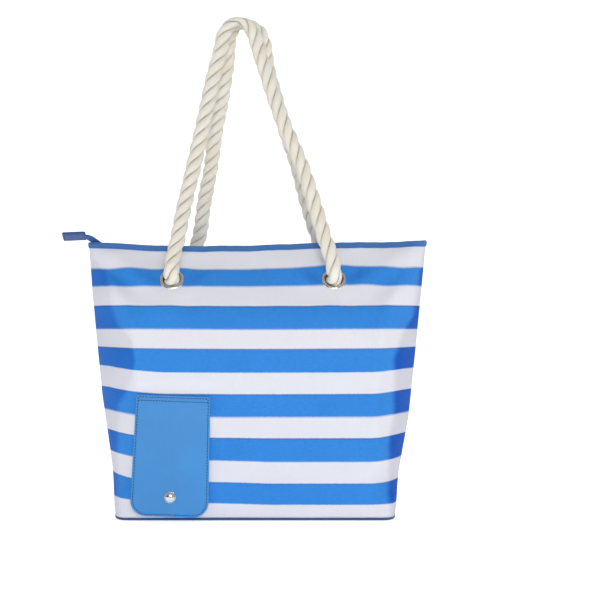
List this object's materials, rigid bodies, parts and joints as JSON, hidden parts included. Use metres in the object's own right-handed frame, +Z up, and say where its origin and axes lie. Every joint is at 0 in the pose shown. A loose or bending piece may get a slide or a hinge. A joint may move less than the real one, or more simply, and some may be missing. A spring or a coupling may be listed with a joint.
{
  "type": "beach bag",
  "caption": "Striped canvas beach bag with a zip top, two rope handles through eyelets, and a snap flap over the tap of an insulated drink pocket.",
  "frame": {"origin": "on the ground under the middle of the base", "axes": "+X to the right seen from the flap side, +Y to the back, +Z up"},
  "size_m": [0.4931, 0.1495, 0.6753],
  "materials": {
    "canvas": "plain-weave canvas with broad white and blue stripes",
    "base": "plain-weave canvas",
    "board": "matt board",
    "lining": "smooth coated cloth",
    "binding": "woven binding",
    "tape": "woven zip tape",
    "teeth": "moulded teeth",
    "nickel": "polished nickel plate",
    "rope": "three-strand twisted cotton",
    "leatherette": "smooth coated leatherette",
    "tab": "smooth coated leatherette",
    "foam": "padded insulation",
    "foil": "foil-faced cloth",
    "film": "clear drink film",
    "plastic": "moulded plastic",
    "button": "moulded plastic"
  },
  "bodies": {
    "bag": {"front_panel": "canvas", "back_panel": "canvas", "base_panel": "base", "base_board": "board", "lining": "lining", "top_binding_front": "binding", "top_binding_back": "binding", "zip_facing_front": "tape", "zip_facing_back": "tape", "zip_end_left": "tape", "zip_end_right": "tape", "zip_stop_left": "nickel", "zip_stop_right": "nickel", "zip_tail_tape": "tape", "flap_hinge_strip": "leatherette", "snap_stud": "nickel", "snap_stud_back": "nickel", "port_ring": "nickel", "port_ring_back": "nickel", "pocket_foam": "foam", "pocket_foil": "foil", "drink_pouch": "film", "pouch_gland": "plastic", "tap_body": "plastic", "eyelet_front_left": "nickel", "eyelet_washer_front_left": "nickel", "rope_knot_front_left": "rope", "eyelet_front_right": "nickel", "eyelet_washer_front_right": "nickel", "rope_knot_front_right": "rope", "eyelet_back_left": "nickel", "eyelet_washer_back_left": "nickel", "rope_knot_back_left": "rope", "eyelet_back_right": "nickel", "eyelet_washer_back_right": "nickel", "rope_knot_back_right": "rope"},
    "front_zip_tape": {"zip_tape_front": "tape", "zip_teeth_front": "teeth"},
    "back_zip_tape": {"zip_tape_back": "tape", "zip_teeth_back": "teeth"},
    "slider": {"zip_slider": "nickel"},
    "slider_pull": {"zip_pull": "nickel"},
    "end_tab": {"zip_end_tab": "tab"},
    "front_handle": {"front_rope_handle": "rope"},
    "back_handle": {"back_rope_handle": "rope"},
    "tap_flap": {"flap_outer": "leatherette", "flap_backing": "lining", "snap_cap": "nickel", "snap_socket": "nickel"},
    "cool_lid": {"pocket_lid": "foil", "lid_pull_tab": "tape"},
    "button": {"tap_button": "button"}
  },
  "joints": [
    {"name": "front_handle_swing", "type": "hinge", "parent": "bag", "child": "front_handle", "pos_m": [0, -0.05233, 0.3237], "axis": [1, 0, 0], "range_deg": [0, 150]},
    {"name": "back_handle_swing", "type": "hinge", "parent": "bag", "child": "back_handle", "pos_m": [0, 0.05233, 0.3237], "axis": [-1, 0, 0], "range_deg": [0, 150]},
    {"name": "flap_lift", "type": "hinge", "parent": "bag", "child": "tap_flap", "pos_m": [-0.1085, -0.0734, 0.1535], "axis": [0.9994, 0, -0.0349], "range_deg": [-170, 0]},
    {"name": "zip_slide", "type": "slide", "parent": "bag", "child": "slider", "axis": [-1, 0, 0], "range_m": [0, 0.374]},
    {"name": "zip_pull_flip", "type": "hinge", "parent": "slider", "child": "slider_pull", "pos_m": [0.1834, 0, 0.3598], "axis": [0, 1, 0], "range_deg": [-175, 0]},
    {"name": "front_zip_fold", "type": "hinge", "parent": "bag", "child": "front_zip_tape", "pos_m": [0, -0.0088, 0.356], "axis": [1, 0, 0], "range_deg": [0, 75]},
    {"name": "back_zip_fold", "type": "hinge", "parent": "bag", "child": "back_zip_tape", "pos_m": [0, 0.0088, 0.356], "axis": [-1, 0, 0], "range_deg": [0, 75]},
    {"name": "end_tab_flop", "type": "hinge", "parent": "bag", "child": "end_tab", "pos_m": [-0.231, 0, 0.372], "axis": [0, 1, 0], "range_deg": [-60, 80]},
    {"name": "lid_lift", "type": "hinge", "parent": "bag", "child": "cool_lid", "pos_m": [0, 0.0145, 0.1905], "axis": [-1, 0, 0], "range_deg": [0, 100]},
    {"name": "button_push", "type": "slide", "parent": "bag", "child": "button", "axis": [0, 1, 0], "range_m": [0, 0.003], "stiffness_N_per_m": 300, "springref_m": -0.002}
  ],
  "couplings": [
    {"joint": "back_zip_fold", "follows": "front_zip_fold", "ratio": 1}
  ]
}
